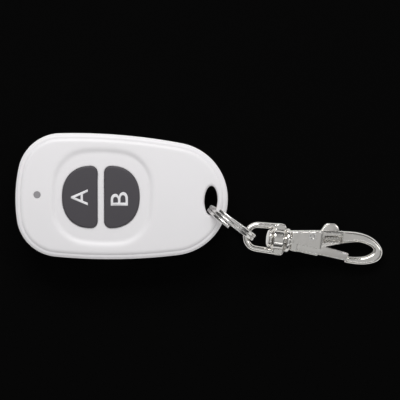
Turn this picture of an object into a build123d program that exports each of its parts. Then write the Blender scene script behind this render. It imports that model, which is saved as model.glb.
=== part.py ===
from build123d import *
from math import asin, atan2, cos, degrees, hypot, radians, sin, sqrt
import os

os.makedirs("parts", exist_ok=True)

# A two-button key fob on a split ring, with a swivel snap hook.
# The fob lies on its flat back: x runs along it to the key-ring end, z is up,
# and the origin is on the back, halfway along.

# Outline of the shell from above: tangent arcs, mirrored about the x axis
fob_length = 58.0
fob_width = 34.14
led_end_radius = 41.56
shoulder_radius = 11.55
side_radius = 157.6
ring_end_radius_share = 0.451

# Heights of the shell: the whole, the lid above its seat and the widest level below the seat
fob_thickness = 12.5
cover_height = 4.5
widest_drop = 1.0
crown_long_radius = 270.00247
crown_side_radius = 140.07416

# The hull under the widest level, as shares of widest_height, of fob_length
# (set back at the LED end, then at the ring end) and of fob_width
hull_shares = [
    (0.00, 0.103, 0.345, 0.557),
    (0.11, 0.052, 0.250, 0.773),
    (0.34, 0.021, 0.138, 0.914),
    (0.62, 0.006, 0.048, 0.981),
    (0.80, 0.002, 0.013, 0.997),
    (1.00, 0.000, 0.000, 1.000),
]

# Walls, rim and seam
back_wall = 1.5
side_wall = 2.1
rim_width = 1.3
rim_round = 1.05
rim_step = 0.45
seam_gap = 0.12
cover_wall = 1.9
skirt_wall = 1.1
cover_round = 0.4

# Dish round the keys: its middle and length follow the shell's length
dish_middle_share = 0.4095
dish_length_share = 0.4414
dish_side_margin = 4.87
dish_depth = 0.65
dish_slope = 1.45
dish_lip = 0.05
dish_corner_share = 0.3525
dish_bow_share = 1.72

# Keys: they fill the dish but for a margin, round sides outwards
key_side_margin = 3.81
key_end_margin = 2.27
key_gap = 1.9
key_corner = 1.7
key_fullness_share = 2.25
key_round_points = 6
key_below_crown = 0.2
key_edge = 0.35
key_clearance = 0.14
key_flange = 0.7
key_flange_depth = 1.0
key_free_play = 0.03
key_travel = 0.3
key_stem_diameter = 3.2
key_stem_height = 0.5
switch_place_share = 0.517

# Light pipe and LED
led_place_share = 0.1022
lens_diameter = 1.9
lens_clearance = 0.05
lens_flange = 3.2
lens_flange_thickness = 0.8
led_length = 3.2
led_width = 1.6
led_height = 0.9
led_dome = 0.5
led_dome_angle = 30.0

# Slot for the key ring
slot_width = 3.5
slot_height = 7.95
slot_from_end = 4.6
slot_wall = 2.65
slot_edge = 0.7
slot_back_step = 0.3
slot_back_edge = 0.4
slot_margin = 1.2

# Circuit board and what stands on it
board_inset = 3.3
board_thickness = 0.8
board_end_gap = 0.5
switch_size = 6.0
switch_body = 1.5
switch_corner = 0.5
plunger_diameter = 3.0
plunger_reach = 0.5
plunger_clearance = 0.05
plunger_depth = 0.5
chip_length = 8.65
chip_width = 3.9
chip_height = 1.4
chip_chamfer = 0.25
chip_post_gap = 0.3
chip_antenna_gap = 1.0
lead_count = 7
lead_spacing = 1.27
lead_width = 0.42
lead_reach = 1.05
lead_thickness = 0.2
resonator_length = 5.0
resonator_width = 3.8
resonator_height = 1.5
resonator_lid = 0.35
resonator_off_axis = 5.0
small_chip_length = 2.0
small_chip_width = 1.25
small_chip_height = 0.55
small_chip_spacing = 2.4
small_chip_rows = 2
small_chip_columns = 3
small_chip_place_share = 0.188
antenna_wire = 0.8
antenna_rise = 1.1
antenna_bend = 0.9
antenna_from_block = 1.4
antenna_switch_gap = 8.0
antenna_side_margin = 8.57

# Coin cell and its contacts
cell_side_room = 7.07
cell_step_share = 0.28
cell_shoulder = 1.2
cell_edge = 0.25
cell_below_board = 0.45
cell_above_floor = 1.15
contact_thickness = 0.25
contact_diameter = 7.0
contact_dome_diameter = 3.0
strap_width = 5.0
strap_gap = 0.15
strap_foot = 1.2

# Bosses and screws
screw_place_share = 0.162
screw_side_margin = 7.87
screw_from_block = 4.6
boss_diameter = 5.4
boss_post_diameter = 4.0
boss_board_clearance = 0.2
boss_top_gap = 0.1
screw_shank = 1.9
screw_hole = 2.3
screw_pilot = 1.95
screw_head = 3.4
screw_head_height = 1.3
screw_recess = 3.9
screw_recess_depth = 2.3
screw_bite = 1.2
pilot_clearance = 0.3
driver_cross = 1.9
driver_slot = 0.45
driver_depth = 0.7

# Split ring: flat wire wound a little over two turns, standing on its edge
ring_over_shell = 2.4
ring_wire_depth = 1.15
ring_wire_width = 0.86
ring_spacing = 1.0
ring_turns = 2.11
ring_wire_round = 0.22
ring_heading_angle = 34.0
ring_past_slot = 0.13
ring_off_axis = 2.18
ring_start_angle = 1.0

# Shackle of the swivel
shackle_wire = 1.55
shackle_length = 11.5
shackle_bow_width = 8.1
shackle_flare_angle = 2.4
shackle_width = 8.6
shackle_base = 3.0
shackle_base_thickness = 2.3
shackle_base_corner = 1.0
shackle_base_edge = 0.4
hub_diameter = 5.9
hub_length = 3.15
hub_edge = 0.5
hub_set_back = 0.35
bow_ring_gap = 0.25
bow_angle = 39.0

# Swivel post, head and collar, which belong to the hook
post_diameter = 3.0
post_clearance = 0.08
head_diameter = 4.7
head_length = 1.1
head_edge = 0.45
swivel_play = 0.1
collar_gap = 0.15
collar_diameter = 6.4
collar_length = 1.2
collar_edge = 0.5
neck_length = 1.4
neck_diameter = 4.4

# Snap hook
hook_heading_angle = 5.2
snap_gap = 0.1
snap_reach = 26.05
snap_height = 8.66
floor_gap = 0.02
body_thickness = 4.3
root_thickness = 3.2
arm_thickness = 2.5
arm_edge = 0.8
root_edge = 0.5
body_edge = 0.5

# Gate, pivot pin and spring
gate_thickness = 1.5
gate_side_clearance = 0.08
pivot_shares = (0.222, 0.448)
pivot_diameter = 1.3
pivot_clearance = 0.04
pivot_head = 2.3
pivot_head_height = 0.3
pivot_dimple = 1.3
pivot_dimple_depth = 0.3
pivot_dimple_angle = 30.0
spring_wire = 0.3
spring_diameter = 1.7
spring_half_turns = 11
spring_samples = 240
spring_lead = 0.3
spring_bend = 0.35
spring_length = 5.4
spring_tilt_angle = 7.4
window_shares = (0.4495, 0.425)
window_length = 5.5
spring_window = 1.86

# Overrun of the cuts, and the angles of a full and of half a turn
overrun = 1.0
full_angle = 360.0
half_angle = 180.0
bend_angle = 45.0

half_length = fob_length / 2
half_width = fob_width / 2
seat_height = fob_thickness - cover_height
widest_height = seat_height - widest_drop

dish_x = dish_middle_share * fob_length - half_length
crown_x = dish_x
dish_length = dish_length_share * fob_length
dish_width = fob_width - 2 * dish_side_margin
dish_corner = dish_corner_share * min(dish_length, dish_width)
dish_bow_radius = dish_bow_share * dish_width
key_height = dish_width - 2 * key_side_margin
key_reach = dish_length / 2 - key_end_margin - key_gap / 2
switch_from_middle = key_gap / 2 + switch_place_share * key_reach

slot_x = half_length - slot_from_end
block_x = slot_x - slot_width / 2 - slot_wall
led_x = led_place_share * fob_length - half_length
screw_led_x = screw_place_share * fob_length - half_length
screw_ring_x = block_x - screw_from_block
screw_y = half_width - screw_side_margin
cell_x = (screw_led_x + screw_ring_x) / 2
cell_diameter = fob_width - 2 * cell_side_room

key_stack = cover_wall + key_flange_depth + key_stem_height
board_top = fob_thickness - key_stack - plunger_reach - switch_body
board_height = board_top - board_thickness
cell_top = board_height - cell_below_board
cell_bottom = back_wall + cell_above_floor
cell_thickness = cell_top - cell_bottom
cell_step = cell_step_share * cell_thickness
screw_length = seat_height + screw_bite - screw_recess_depth
ring_diameter = fob_thickness + ring_over_shell
snap_start = shackle_length + collar_gap + collar_length + snap_gap


def outline(height, led_set_back, ring_set_back, half, radii_share, inset):
    """The shell's outline at a height: six tangent arcs, each offset inwards by the inset."""
    start = led_set_back + inset - half_length
    end = half_length - ring_set_back - inset
    reach = half - inset
    led_r = led_end_radius * radii_share - inset
    shoulder_r = shoulder_radius * radii_share - inset
    side_r = side_radius * radii_share - inset
    end_r = 2 * half * ring_end_radius_share - inset
    led_centre = Vector(start + led_r, 0)
    end_centre = Vector(end - end_r, 0)
    run = sqrt((side_r - end_r) ** 2 - (side_r - reach) ** 2)
    side_centre = Vector(end_centre.X - run, reach - side_r)
    between = side_centre - led_centre
    span = between.length
    near = led_r - shoulder_r
    far = side_r - shoulder_r
    along = (near**2 - far**2 + span**2) / (2 * span)
    across = sqrt(near**2 - along**2)
    forward = between.normalized()
    shoulder_centre = led_centre + forward * along + Vector(forward.Y, -forward.X) * across
    led_angle = bearing(led_centre, shoulder_centre)
    side_angle = bearing(side_centre, shoulder_centre)
    end_angle = bearing(side_centre, end_centre)
    mirrored_shoulder = Vector(shoulder_centre.X, -shoulder_centre.Y)
    mirrored_side = Vector(side_centre.X, -side_centre.Y)
    with BuildSketch(Plane.XY.offset(height)) as shape:
        with BuildLine():
            CenterArc(led_centre, led_r, led_angle, full_angle - 2 * led_angle)
            CenterArc(mirrored_shoulder, shoulder_r, -led_angle, led_angle - side_angle)
            CenterArc(mirrored_side, side_r, -side_angle, side_angle - end_angle)
            CenterArc(end_centre, end_r, -end_angle, 2 * end_angle)
            CenterArc(side_centre, side_r, end_angle, side_angle - end_angle)
            CenterArc(shoulder_centre, shoulder_r, side_angle, led_angle - side_angle)
        make_face()
    return shape.sketch


def bearing(centre, target):
    """Direction from one point to another, in degrees."""
    return degrees(atan2(target.Y - centre.Y, target.X - centre.X))


def shell_prism(inset, low, high):
    """Straight-sided body of the shell's outline between two heights."""
    with BuildPart() as prism:
        add(outline(low, 0, 0, half_width, 1, inset))
        extrude(amount=high - low)
    return prism.part


def hull(inset, floor):
    """Boat-shaped body below the widest level, with its flat bottom at the floor height."""
    with BuildPart() as boat:
        for rise, led_share, ring_share, width_share in hull_shares:
            level = floor + rise * (widest_height - floor)
            led_set_back = led_share * fob_length
            ring_set_back = ring_share * fob_length
            half = half_width * width_share
            add(outline(level, led_set_back, ring_set_back, half, width_share, inset))
        loft()
    return boat.part


def crowned_block(peak):
    """Everything under a surface that is crowned both ways, highest over the dish."""
    sweep_angle = degrees(asin((fob_length + overrun) / crown_long_radius))
    axis_z = peak - crown_long_radius
    rim = half_width + overrun
    drop = crown_side_radius - sqrt(crown_side_radius**2 - rim**2)
    lean = radians(sweep_angle)
    start_plane = Plane(
        origin=(crown_x, 0, axis_z),
        x_dir=(0, 1, 0),
        z_dir=(cos(lean), 0, sin(lean)),
    )
    with BuildPart() as block:
        with BuildSketch(start_plane):
            with BuildLine():
                top = ThreePointArc(
                    (-rim, crown_long_radius - drop),
                    (0, crown_long_radius),
                    (rim, crown_long_radius - drop),
                )
                Polyline(
                    top @ 1,
                    (rim, crown_long_radius - 2 * fob_thickness),
                    (-rim, crown_long_radius - 2 * fob_thickness),
                    top @ 0,
                )
            make_face()
        revolve(
            axis=Axis((crown_x, 0, axis_z), (0, 1, 0)),
            revolution_arc=2 * sweep_angle,
        )
    return block.part


def crown_height(x, y, peak):
    """Height of the crowned surface over a point."""
    inner = crown_long_radius - crown_side_radius + sqrt(crown_side_radius**2 - y**2)
    return peak - crown_long_radius + sqrt(inner**2 - (x - crown_x) ** 2)


def dish_outline(height, grow):
    """Bowed square with round corners: four shallow arcs and four corner arcs."""
    half_x = dish_length / 2 + grow
    half_y = dish_width / 2 + grow
    corner = dish_corner + grow
    bow = dish_bow_radius + grow
    side_centre = half_x - bow
    top_centre = half_y - bow
    reach = bow - corner
    spread = hypot(side_centre, top_centre)
    half_gap = sqrt(reach**2 - (spread / 2) ** 2)
    middle = Vector(side_centre / 2, top_centre / 2)
    outwards = Vector(-top_centre, -side_centre).normalized()
    centre = middle + outwards * half_gap
    low = degrees(atan2(centre.Y, centre.X - side_centre))
    high = degrees(atan2(centre.Y - top_centre, centre.X))
    with BuildSketch(Plane.XY.offset(height)) as shape:
        with BuildLine():
            CenterArc((side_centre, 0), bow, -low, 2 * low)
            CenterArc(centre, corner, low, high - low)
            CenterArc((0, top_centre), bow, high, half_angle - 2 * high)
            CenterArc((-centre.X, centre.Y), corner, half_angle - high, high - low)
            CenterArc((-side_centre, 0), bow, half_angle - low, 2 * low)
            CenterArc((-centre.X, -centre.Y), corner, half_angle + low, high - low)
            CenterArc((0, -top_centre), bow, half_angle + high, half_angle - 2 * high)
            CenterArc((centre.X, -centre.Y), corner, -high, high - low)
        make_face()
    return shape.sketch.moved(Location((dish_x, 0, 0)))


def key_round(grow):
    """Points round the key's upper outer quarter, from its top to its side, grown outwards."""
    wide = key_reach - key_corner
    tall = key_height / 2
    places = []
    for step in range(key_round_points + 1):
        turn = radians(half_angle / 2 * (1 - step / key_round_points))
        x_share = cos(turn) ** (2 / key_fullness_share)
        y_share = sin(turn) ** (2 / key_fullness_share)
        slope_x = x_share ** (key_fullness_share - 1) / wide
        slope_y = y_share ** (key_fullness_share - 1) / tall
        steep = hypot(slope_x, slope_y)
        x = key_corner + wide * x_share + grow * slope_x / steep
        y = tall * y_share + grow * slope_y / steep
        places.append((x, y))
    return places


def key_outline(side, height, grow):
    """D shape with its straight side by the gap between the keys and its round side away."""
    base = Plane(
        origin=(dish_x + side * key_gap / 2, 0, height),
        x_dir=(side, 0, 0),
        z_dir=(0, 0, 1),
    )
    upper = key_round(grow)
    lower = [(x, -y) for x, y in reversed(upper)]
    tall = key_height / 2
    with BuildSketch(base) as shape:
        with BuildLine():
            Spline(*upper, tangents=[(1, 0), (0, -1)])
            Spline(*lower, tangents=[(0, -1), (-1, 0)])
            JernArc(lower[-1], (-1, 0), key_corner + grow, -half_angle / 2)
            Line((-grow, key_corner - tall), (-grow, tall - key_corner))
            JernArc((-grow, tall - key_corner), (0, 1), key_corner + grow, -half_angle / 2)
        make_face()
    return shape.sketch


screw_points = [(screw_led_x, screw_y), (screw_led_x, -screw_y), (screw_ring_x, 0)]

# Rear housing: a boat-shaped shell with a rim, a block round the slot and screw bosses
cover_edge = rim_width + seam_gap
with BuildPart() as cavity:
    add(hull(side_wall, back_wall))
    add(shell_prism(side_wall, widest_height, seat_height + overrun))
    split(bisect_by=Plane.YZ.offset(block_x), keep=Keep.BOTTOM)

with BuildPart() as rear_housing:
    add(hull(0, 0))
    add(shell_prism(0, widest_height, fob_thickness + overrun))
    add(crowned_block(fob_thickness - rim_step), mode=Mode.INTERSECT)
    fillet(rear_housing.faces().sort_by(Axis.Z)[-1].edges(), rim_round)
    add(cavity.part, mode=Mode.SUBTRACT)
    add(shell_prism(rim_width, seat_height, fob_thickness + overrun), mode=Mode.SUBTRACT)
    with BuildSketch(Plane.XY.offset(back_wall)):
        with Locations(*screw_points):
            Circle(boss_diameter / 2)
    extrude(amount=board_height - back_wall)
    with BuildSketch(Plane.XY.offset(back_wall)):
        with Locations(*screw_points):
            Circle(boss_post_diameter / 2)
    extrude(amount=seat_height - boss_top_gap - back_wall)
    with BuildSketch():
        with Locations(*screw_points):
            Circle(screw_hole / 2)
    extrude(amount=seat_height, mode=Mode.SUBTRACT)
    with BuildSketch():
        with Locations(*screw_points):
            Circle(screw_recess / 2)
    extrude(amount=screw_recess_depth, mode=Mode.SUBTRACT)
    with BuildSketch():
        with Locations((slot_x, 0)):
            Ellipse(slot_width / 2 + slot_back_step, slot_height / 2 + slot_back_step)
    extrude(amount=fob_thickness, mode=Mode.SUBTRACT)
    slot_span = (block_x + slot_margin, half_length - slot_margin)
    back_rim = rear_housing.edges().filter_by_position(Axis.X, *slot_span)
    back_rim = back_rim.filter_by_position(Axis.Z, overrun, seat_height - overrun)
    fillet(back_rim.sort_by(SortBy.LENGTH)[-1:], slot_back_edge)

rear_housing.part.label = "rear_housing"
export_step(rear_housing.part, "parts/rear_housing.step")

# Front cover: a crowned lid inside the rim, with the dish, the key windows and the slot
with BuildPart() as cover_hollow:
    add(shell_prism(cover_edge + skirt_wall, seat_height - overrun, fob_thickness))
    add(crowned_block(fob_thickness - cover_wall), mode=Mode.INTERSECT)
    split(bisect_by=Plane.YZ.offset(block_x), keep=Keep.BOTTOM)

with BuildPart() as dish_space:
    add(dish_outline(seat_height, 0))
    extrude(amount=fob_thickness)
    add(crowned_block(fob_thickness - dish_depth), mode=Mode.SUBTRACT)

with BuildPart() as cover_bosses:
    with BuildSketch(Plane.XY.offset(seat_height)):
        with Locations(*screw_points):
            Circle(boss_post_diameter / 2)
    extrude(amount=fob_thickness)
    add(crowned_block(fob_thickness - cover_wall / 2), mode=Mode.INTERSECT)

with BuildPart() as front_cover:
    add(shell_prism(cover_edge, seat_height, fob_thickness + overrun))
    add(crowned_block(fob_thickness), mode=Mode.INTERSECT)
    fillet(front_cover.faces().sort_by(Axis.Z)[-1].edges(), cover_round)
    add(dish_space.part, mode=Mode.SUBTRACT)
    crown_face = front_cover.faces().filter_by(lambda face: len(face.inner_wires()) > 0)[0]
    dish_rim = crown_face.inner_wires()[0].edges()
    chamfer(dish_rim, dish_slope, length2=dish_depth - dish_lip, reference=crown_face)
    add(cover_hollow.part, mode=Mode.SUBTRACT)
    add(cover_bosses.part)
    with BuildSketch(Plane.XY.offset(seat_height)):
        with Locations(*screw_points):
            Circle(screw_pilot / 2)
    extrude(amount=screw_bite + pilot_clearance, mode=Mode.SUBTRACT)
    for side in (-1, 1):
        add(key_outline(side, seat_height, key_clearance))
        extrude(amount=fob_thickness, mode=Mode.SUBTRACT)
    with BuildSketch(Plane.XY.offset(seat_height)):
        with Locations((led_x, 0)):
            Circle(lens_diameter / 2 + lens_clearance)
    extrude(amount=fob_thickness, mode=Mode.SUBTRACT)
    with BuildSketch(Plane.XY.offset(seat_height)):
        with Locations((slot_x, 0)):
            Ellipse(slot_width / 2, slot_height / 2)
    extrude(amount=fob_thickness, mode=Mode.SUBTRACT)
    slot_rim = front_cover.edges().filter_by_position(Axis.X, block_x, half_length)
    slot_rim = slot_rim.group_by(Axis.Z)[-1]
    fillet(slot_rim, slot_edge)

front_cover.part.label = "front_cover"
export_step(front_cover.part, "parts/front_cover.step")

# Keys: two D-shaped buttons with a flange under the cover and a stem on the switch
flange_bottom = fob_thickness - cover_wall - key_flange_depth
plunger_top = board_top + switch_body + plunger_reach


def key_body(side):
    """One key: crowned face with a rounded edge, flange and stem."""
    with BuildPart() as key_block:
        add(key_outline(side, flange_bottom, 0))
        extrude(amount=fob_thickness)
        add(crowned_block(fob_thickness - key_below_crown), mode=Mode.INTERSECT)
        fillet(key_block.faces().sort_by(Axis.Z)[-1].edges(), key_edge)
    with BuildPart() as flange:
        add(key_outline(side, flange_bottom, key_flange))
        extrude(amount=fob_thickness)
        add(crowned_block(fob_thickness - cover_wall - key_free_play), mode=Mode.INTERSECT)
    with BuildPart() as whole:
        add(key_block.part)
        add(flange.part)
        with BuildSketch(Plane.XY.offset(plunger_top)):
            with Locations((dish_x + side * switch_from_middle, 0)):
                Circle(key_stem_diameter / 2)
        extrude(amount=flange_bottom - plunger_top)
    return whole.part


with BuildPart() as key_a:
    add(key_body(-1))
key_a.part.label = "key_a"
export_step(key_a.part, "parts/key_a.step")

with BuildPart() as key_b:
    add(key_body(1))
key_b.part.label = "key_b"
export_step(key_b.part, "parts/key_b.step")

# Light pipe of the LED: a round window with a flange under the cover
lens_flange_top = crown_height(led_x - lens_flange / 2, 0, fob_thickness - cover_wall)
with BuildPart() as led_window:
    with BuildSketch(Plane.XY.offset(lens_flange_top - lens_flange_thickness)):
        with Locations((led_x, 0)):
            Circle(lens_flange / 2)
    extrude(amount=lens_flange_thickness)
    with BuildSketch(Plane.XY.offset(lens_flange_top)):
        with Locations((led_x, 0)):
            Circle(lens_diameter / 2)
    extrude(amount=fob_thickness)
    add(crowned_block(fob_thickness), mode=Mode.INTERSECT)
led_window.part.label = "led_window"
export_step(led_window.part, "parts/led_window.step")

# LED on the board
with BuildPart() as led_chip:
    with BuildSketch(Plane.XY.offset(board_top)):
        with Locations((led_x, 0)):
            Rectangle(led_width, led_length)
    extrude(amount=led_height)
    with BuildSketch(Plane.XY.offset(board_top + led_height)):
        with Locations((led_x, 0)):
            Circle(led_width / 2)
    extrude(amount=led_dome, taper=led_dome_angle)
led_chip.part.label = "led_chip"
export_step(led_chip.part, "parts/led_chip.step")

# Circuit board, cut square before the slot and drilled for the screw posts
with BuildPart() as circuit_board:
    add(outline(board_height, 0, 0, half_width, 1, board_inset))
    extrude(amount=board_thickness)
    split(bisect_by=Plane.YZ.offset(block_x - board_end_gap), keep=Keep.BOTTOM)
    with BuildSketch(Plane.XY.offset(board_height)):
        with Locations(*screw_points):
            Circle(boss_post_diameter / 2 + boss_board_clearance)
    extrude(amount=board_thickness, mode=Mode.SUBTRACT)
circuit_board.part.label = "circuit_board"
export_step(circuit_board.part, "parts/circuit_board.step")


def switch_base(x):
    """Square switch body with a well for its plunger."""
    with BuildPart() as base:
        with BuildSketch(Plane.XY.offset(board_top)):
            with Locations((x, 0)):
                Rectangle(switch_size, switch_size)
        extrude(amount=switch_body)
        fillet(base.edges().filter_by(Axis.Z), switch_corner)
        with BuildSketch(Plane.XY.offset(board_top + switch_body)):
            with Locations((x, 0)):
                Circle(plunger_diameter / 2 + plunger_clearance)
        extrude(amount=-plunger_depth - key_travel - plunger_clearance, mode=Mode.SUBTRACT)
    return base.part


def switch_plunger(x):
    """Round plunger standing in the switch body."""
    with BuildPart() as plunger:
        with BuildSketch(Plane.XY.offset(board_top + switch_body - plunger_depth)):
            with Locations((x, 0)):
                Circle(plunger_diameter / 2)
        extrude(amount=plunger_depth + plunger_reach)
    return plunger.part


# Tactile switches under the keys
with BuildPart() as switch_a_base:
    add(switch_base(dish_x - switch_from_middle))
switch_a_base.part.label = "switch_a_base"
export_step(switch_a_base.part, "parts/switch_a_base.step")

with BuildPart() as switch_a_plunger:
    add(switch_plunger(dish_x - switch_from_middle))
switch_a_plunger.part.label = "switch_a_plunger"
export_step(switch_a_plunger.part, "parts/switch_a_plunger.step")

with BuildPart() as switch_b_base:
    add(switch_base(dish_x + switch_from_middle))
switch_b_base.part.label = "switch_b_base"
export_step(switch_b_base.part, "parts/switch_b_base.step")

with BuildPart() as switch_b_plunger:
    add(switch_plunger(dish_x + switch_from_middle))
switch_b_plunger.part.label = "switch_b_plunger"
export_step(switch_b_plunger.part, "parts/switch_b_plunger.step")

# Coin cell under the board, its wide can below and its narrower cap above
with BuildPart() as battery:
    with BuildSketch(Plane.XY.offset(cell_bottom)):
        with Locations((cell_x, 0)):
            Circle(cell_diameter / 2)
    extrude(amount=cell_thickness - cell_step)
    fillet(battery.edges(), cell_edge)
    with BuildSketch(Plane.XY.offset(cell_top)):
        with Locations((cell_x, 0)):
            Circle(cell_diameter / 2 - cell_shoulder)
    extrude(amount=-cell_step)
battery.part.label = "battery"
export_step(battery.part, "parts/battery.step")

# Positive clip: a strap under the cell with legs and feet on the board's underside
leg_inner = cell_diameter / 2 + strap_gap
leg_outer = leg_inner + contact_thickness
foot_end = leg_outer + strap_foot
strap_bottom = cell_bottom - contact_thickness
with BuildPart() as battery_positive_clip:
    with BuildSketch(Plane.YZ.offset(cell_x - strap_width / 2)):
        with BuildLine():
            Polyline(
                (-foot_end, board_height),
                (-foot_end, board_height - contact_thickness),
                (-leg_outer, board_height - contact_thickness),
                (-leg_outer, strap_bottom),
                (leg_outer, strap_bottom),
                (leg_outer, board_height - contact_thickness),
                (foot_end, board_height - contact_thickness),
                (foot_end, board_height),
                (leg_inner, board_height),
                (leg_inner, cell_bottom),
                (-leg_inner, cell_bottom),
                (-leg_inner, board_height),
                close=True,
            )
        make_face()
    extrude(amount=strap_width)
battery_positive_clip.part.label = "battery_positive_clip"
export_step(battery_positive_clip.part, "parts/battery_positive_clip.step")

# Negative contact: a disc under the board with a dome on the cell's cap
with BuildPart() as battery_negative_contact:
    with BuildSketch(Plane.XY.offset(board_height)):
        with Locations((cell_x, 0)):
            Circle(contact_diameter / 2)
    extrude(amount=-contact_thickness)
    with BuildSketch(Plane.XY.offset(board_height - contact_thickness)):
        with Locations((cell_x, 0)):
            Circle(contact_dome_diameter / 2)
    extrude(amount=contact_thickness - cell_below_board)
battery_negative_contact.part.label = "battery_negative_contact"
export_step(battery_negative_contact.part, "parts/battery_negative_contact.step")

# Encoder chip with two rows of leads
antenna_x = block_x - antenna_from_block
antenna_foot_x = dish_x + switch_from_middle + switch_size / 2 + antenna_switch_gap
antenna_half_width = half_width - antenna_side_margin
chip_x = antenna_foot_x - chip_antenna_gap - lead_reach - chip_width / 2
chip_off_axis = boss_post_diameter / 2 + boss_board_clearance + chip_post_gap + chip_length / 2
with BuildPart() as encoder_chip:
    with BuildSketch(Plane.XY.offset(board_top + lead_thickness)):
        with Locations((chip_x, chip_off_axis)):
            Rectangle(chip_width, chip_length)
    extrude(amount=chip_height)
    chamfer(encoder_chip.faces().sort_by(Axis.Z)[-1].edges(), chip_chamfer)
    with BuildSketch(Plane.XY.offset(board_top)):
        with Locations((chip_x, chip_off_axis)):
            with GridLocations(0, lead_spacing, 1, lead_count):
                Rectangle(chip_width + 2 * lead_reach, lead_width)
    extrude(amount=2 * lead_thickness)
encoder_chip.part.label = "encoder_chip"
export_step(encoder_chip.part, "parts/encoder_chip.step")

# Resonator in a small metal can
with BuildPart() as resonator:
    with BuildSketch(Plane.XY.offset(board_top)):
        with Locations((chip_x, -resonator_off_axis)):
            Rectangle(resonator_width, resonator_length)
    extrude(amount=resonator_height - resonator_lid)
    with BuildSketch(Plane.XY.offset(board_top + resonator_height - resonator_lid)):
        with Locations((chip_x, -resonator_off_axis)):
            Rectangle(resonator_width - resonator_lid, resonator_length - resonator_lid)
    extrude(amount=resonator_lid)
resonator.part.label = "resonator"
export_step(resonator.part, "parts/resonator.step")

# Small chip parts between the LED and the first switch
small_chip_x = small_chip_place_share * fob_length - half_length
with BuildPart() as chip_parts:
    with BuildSketch(Plane.XY.offset(board_top)):
        with Locations((small_chip_x, 0)):
            with GridLocations(
                small_chip_spacing, small_chip_spacing, small_chip_rows, small_chip_columns
            ):
                Rectangle(small_chip_width, small_chip_length)
    extrude(amount=small_chip_height)
chip_parts.part.label = "chip_parts"
export_step(chip_parts.part, "parts/chip_parts.step")

# Antenna: one bent wire standing on the board's ring end
antenna_z = board_top + antenna_rise
with BuildPart() as antenna_loop:
    with BuildLine() as antenna_path:
        FilletPolyline(
            (antenna_foot_x, -antenna_half_width, board_top),
            (antenna_foot_x, -antenna_half_width, antenna_z),
            (antenna_x, -antenna_half_width, antenna_z),
            (antenna_x, antenna_half_width, antenna_z),
            (antenna_foot_x, antenna_half_width, antenna_z),
            (antenna_foot_x, antenna_half_width, board_top),
            radius=antenna_bend,
        )
    with BuildSketch(Plane.XY.offset(board_top)):
        with Locations((antenna_foot_x, -antenna_half_width)):
            Circle(antenna_wire / 2)
    sweep(path=antenna_path.line)
antenna_loop.part.label = "antenna_loop"
export_step(antenna_loop.part, "parts/antenna_loop.step")

# Housing screws: three pan heads sunk in the back, with cross recesses
with BuildPart() as housing_screws:
    with BuildSketch(Plane.XY.offset(screw_recess_depth)):
        with Locations(*screw_points):
            Circle(screw_head / 2)
    extrude(amount=-screw_head_height)
    chamfer(housing_screws.faces().sort_by(Axis.Z)[:3].edges(), driver_slot / 2)
    with BuildSketch(Plane.XY.offset(screw_recess_depth)):
        with Locations(*screw_points):
            Circle(screw_shank / 2)
    extrude(amount=screw_length)
    with BuildSketch(Plane.XY.offset(screw_recess_depth - screw_head_height)):
        with Locations(*screw_points):
            Rectangle(driver_cross, driver_slot)
            Rectangle(driver_slot, driver_cross)
    extrude(amount=driver_depth, mode=Mode.SUBTRACT)
housing_screws.part.label = "housing_screws"
export_step(housing_screws.part, "parts/housing_screws.step")

# Split ring: one flat wire wound a little over two turns
ring_r = (ring_diameter - ring_wire_depth) / 2
ring_z = ring_diameter / 2
ring_out = Vector(cos(radians(ring_heading_angle)), -sin(radians(ring_heading_angle)), 0)
ring_axis = Vector(sin(radians(ring_heading_angle)), cos(radians(ring_heading_angle)), 0)
ring_up = Vector(0, 0, 1)
ring_centre = Vector(slot_x + ring_past_slot, -ring_off_axis, ring_z) + ring_out * ring_r
start_lean = radians(ring_start_angle)
ring_start = ring_up * cos(start_lean) - ring_out * sin(start_lean)
ring_plane = Plane(origin=ring_centre - ring_axis * ring_spacing, x_dir=ring_start, z_dir=ring_axis)
with BuildLine() as level_coil:
    Helix(ring_spacing, ring_spacing * ring_turns, ring_r, lefthand=True)
ring_path = level_coil.line.moved(ring_plane.location)
with BuildPart() as split_ring:
    with BuildSketch(Plane(origin=ring_path @ 0, x_dir=ring_start, z_dir=ring_path % 0)):
        RectangleRounded(ring_wire_depth, ring_wire_width, ring_wire_round)
    sweep(path=ring_path, is_frenet=True)
split_ring.part.label = "split_ring"
export_step(split_ring.part, "parts/split_ring.step")

# Frame of the hook: x along it from the shackle's bow, leaning down to the floor
bow_centre_x = shackle_wire / 2
lean_run = snap_start + snap_reach - bow_centre_x - arm_edge
lean_rise = arm_thickness / 2 - arm_edge
lean_drop = ring_z - arm_edge - floor_gap
hook_lean = asin(lean_drop / hypot(lean_run, lean_rise)) - atan2(lean_rise, lean_run)
hook_turn = radians(hook_heading_angle)
hook_x = Vector(
    cos(hook_lean) * cos(hook_turn), -cos(hook_lean) * sin(hook_turn), -sin(hook_lean)
)
hook_up = Vector(
    sin(hook_lean) * cos(hook_turn), -sin(hook_lean) * sin(hook_turn), cos(hook_lean)
)
bow_reach = ring_diameter / 2 - ring_wire_depth - shackle_wire / 2 - bow_ring_gap
bow_turn = radians(bow_angle)
bow_point = ring_centre + Vector(cos(bow_turn), -sin(bow_turn), 0) * bow_reach
hook_origin = bow_point - hook_x * bow_centre_x


def hook_plane(rise):
    """Plane of the hook's flat side, raised by a distance."""
    return Plane(origin=hook_origin + hook_up * rise, x_dir=hook_x, z_dir=hook_up)


def cross_plane(run):
    """Plane square to the hook's length, at a distance along it."""
    side = hook_up.cross(hook_x)
    return Plane(origin=hook_origin + hook_x * run, x_dir=side, z_dir=hook_x)


def snap_points(shares):
    """Points of the snap from shares of its reach and of half its height."""
    reach = snap_reach
    half = snap_height / 2
    return [(snap_start + across * reach, rise * half) for across, rise in shares]


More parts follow.
